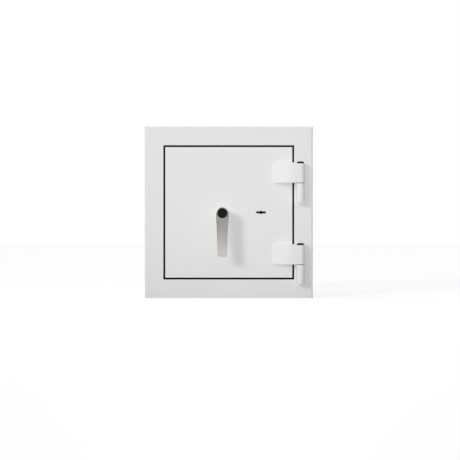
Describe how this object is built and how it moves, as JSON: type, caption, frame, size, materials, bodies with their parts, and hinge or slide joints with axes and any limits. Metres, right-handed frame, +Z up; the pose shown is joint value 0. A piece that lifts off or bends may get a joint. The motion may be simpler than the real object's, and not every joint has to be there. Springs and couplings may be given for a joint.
{
  "type": "key lock safe",
  "caption": "Free-standing steel safe with a hinged door on external knuckle hinges, a lever handle that draws the bolts, and a double-bit key lock that blocks them.",
  "frame": {"origin": "centre of the underside of the body", "axes": "+X to the right seen from the front, +Y to the back, +Z up; the door faces -Y"},
  "size_m": [0.48, 0.4841, 0.49],
  "materials": {
    "casing_paint": "light grey fine-texture powder coat",
    "door_paint": "light grey fine-texture powder coat",
    "interior_paint": "light grey satin paint",
    "fire_barrier": "cast concrete-like filling",
    "hardened_steel": "dark hardened plate",
    "blackened_steel": "black-oxide steel",
    "zinc_steel": "zinc-plated sheet",
    "bright_steel": "ground bright steel",
    "screw_steel": "plated fasteners",
    "brass": "machined brass",
    "brushed_handle": "fine brushed satin metal",
    "black_plastic": "fine-grain black plastic",
    "seal_rubber": "black soft seal"
  },
  "bodies": {
    "casing": {"base_plate": "casing_paint", "top_panel": "casing_paint", "left_side_panel": "casing_paint", "right_side_panel": "casing_paint", "back_plate": "casing_paint", "front_frame": "casing_paint", "jamb_frame": "casing_paint", "jamb_barrier": "fire_barrier", "base_barrier": "fire_barrier", "top_barrier": "fire_barrier", "left_barrier": "fire_barrier", "right_barrier": "fire_barrier", "back_barrier": "fire_barrier", "inner_lining": "interior_paint", "base_anchor_sleeve": "zinc_steel", "back_anchor_sleeve": "zinc_steel", "door_seal": "seal_rubber", "shelf": "interior_paint", "shelf_rails": "zinc_steel", "shelf_clips": "zinc_steel", "upper_knuckle": "casing_paint", "lower_knuckle": "casing_paint", "hinge_pins": "bright_steel", "thrust_washers": "black_plastic"},
    "door": {"door_plate": "door_paint", "door_pan": "interior_paint", "door_barrier": "fire_barrier", "hard_plate": "hardened_steel", "upper_hinge_leaf": "door_paint", "lower_hinge_leaf": "door_paint", "hinge_caps": "black_plastic", "hinge_bushes": "brass", "boltwork_frame": "interior_paint", "boltwork_cover": "interior_paint", "cover_screws": "screw_steel", "spindle_front_bush": "brass", "spindle_rear_bush": "brass", "key_guide_tube": "blackened_steel", "dog_bolts": "bright_steel", "dog_bolt_bar": "zinc_steel", "carriage_guide_studs": "bright_steel", "lock_case": "blackened_steel", "lock_cover": "blackened_steel", "lock_screws": "screw_steel"},
    "handle": {"lever_handle": "brushed_handle", "handle_cap": "black_plastic", "spindle": "bright_steel", "handle_grub_screw": "screw_steel", "drive_cam": "zinc_steel", "cam_pin": "bright_steel", "cam_nut": "screw_steel"},
    "boltwork": {"bolt_carriage": "zinc_steel", "locking_bolts": "bright_steel", "bolt_screws": "screw_steel"},
    "key_rotor": {"lock_rotor": "brass"},
    "lock_bolt": {"lock_bolt": "brass"},
    "lock_lever_pack": {"lock_levers": "brass"}
  },
  "joints": [
    {"name": "door_hinge", "type": "hinge", "parent": "casing", "child": "door", "pos_m": [0.204, -0.2285, 0.245], "axis": [0, 0, 1], "range_deg": [0, 180]},
    {"name": "handle_turn", "type": "hinge", "parent": "door", "child": "handle", "pos_m": [-0.018, -0.215, 0.242], "axis": [0, 1, 0], "range_deg": [0, 90]},
    {"name": "bolt_slide", "type": "slide", "parent": "door", "child": "boltwork", "axis": [-1, 0, 0], "range_m": [0, 0.027]},
    {"name": "key_turn", "type": "hinge", "parent": "door", "child": "key_rotor", "pos_m": [0.092, -0.174, 0.245], "axis": [0, -1, 0], "range_deg": [0, 90]},
    {"name": "lock_bolt_slide", "type": "slide", "parent": "door", "child": "lock_bolt", "axis": [0, 0, 1], "range_m": [0, 0.014]},
    {"name": "lever_lift", "type": "hinge", "parent": "door", "child": "lock_lever_pack", "pos_m": [0.072, -0.16, 0.275], "axis": [0, -1, 0], "range_deg": [0, 5]}
  ],
  "couplings": [
    {"joint": "bolt_slide", "follows": "handle_turn", "m_per_rad": 0.017189},
    {"joint": "key_turn", "follows": "lock_bolt_slide", "rad_per_m": 112.2}
  ]
}
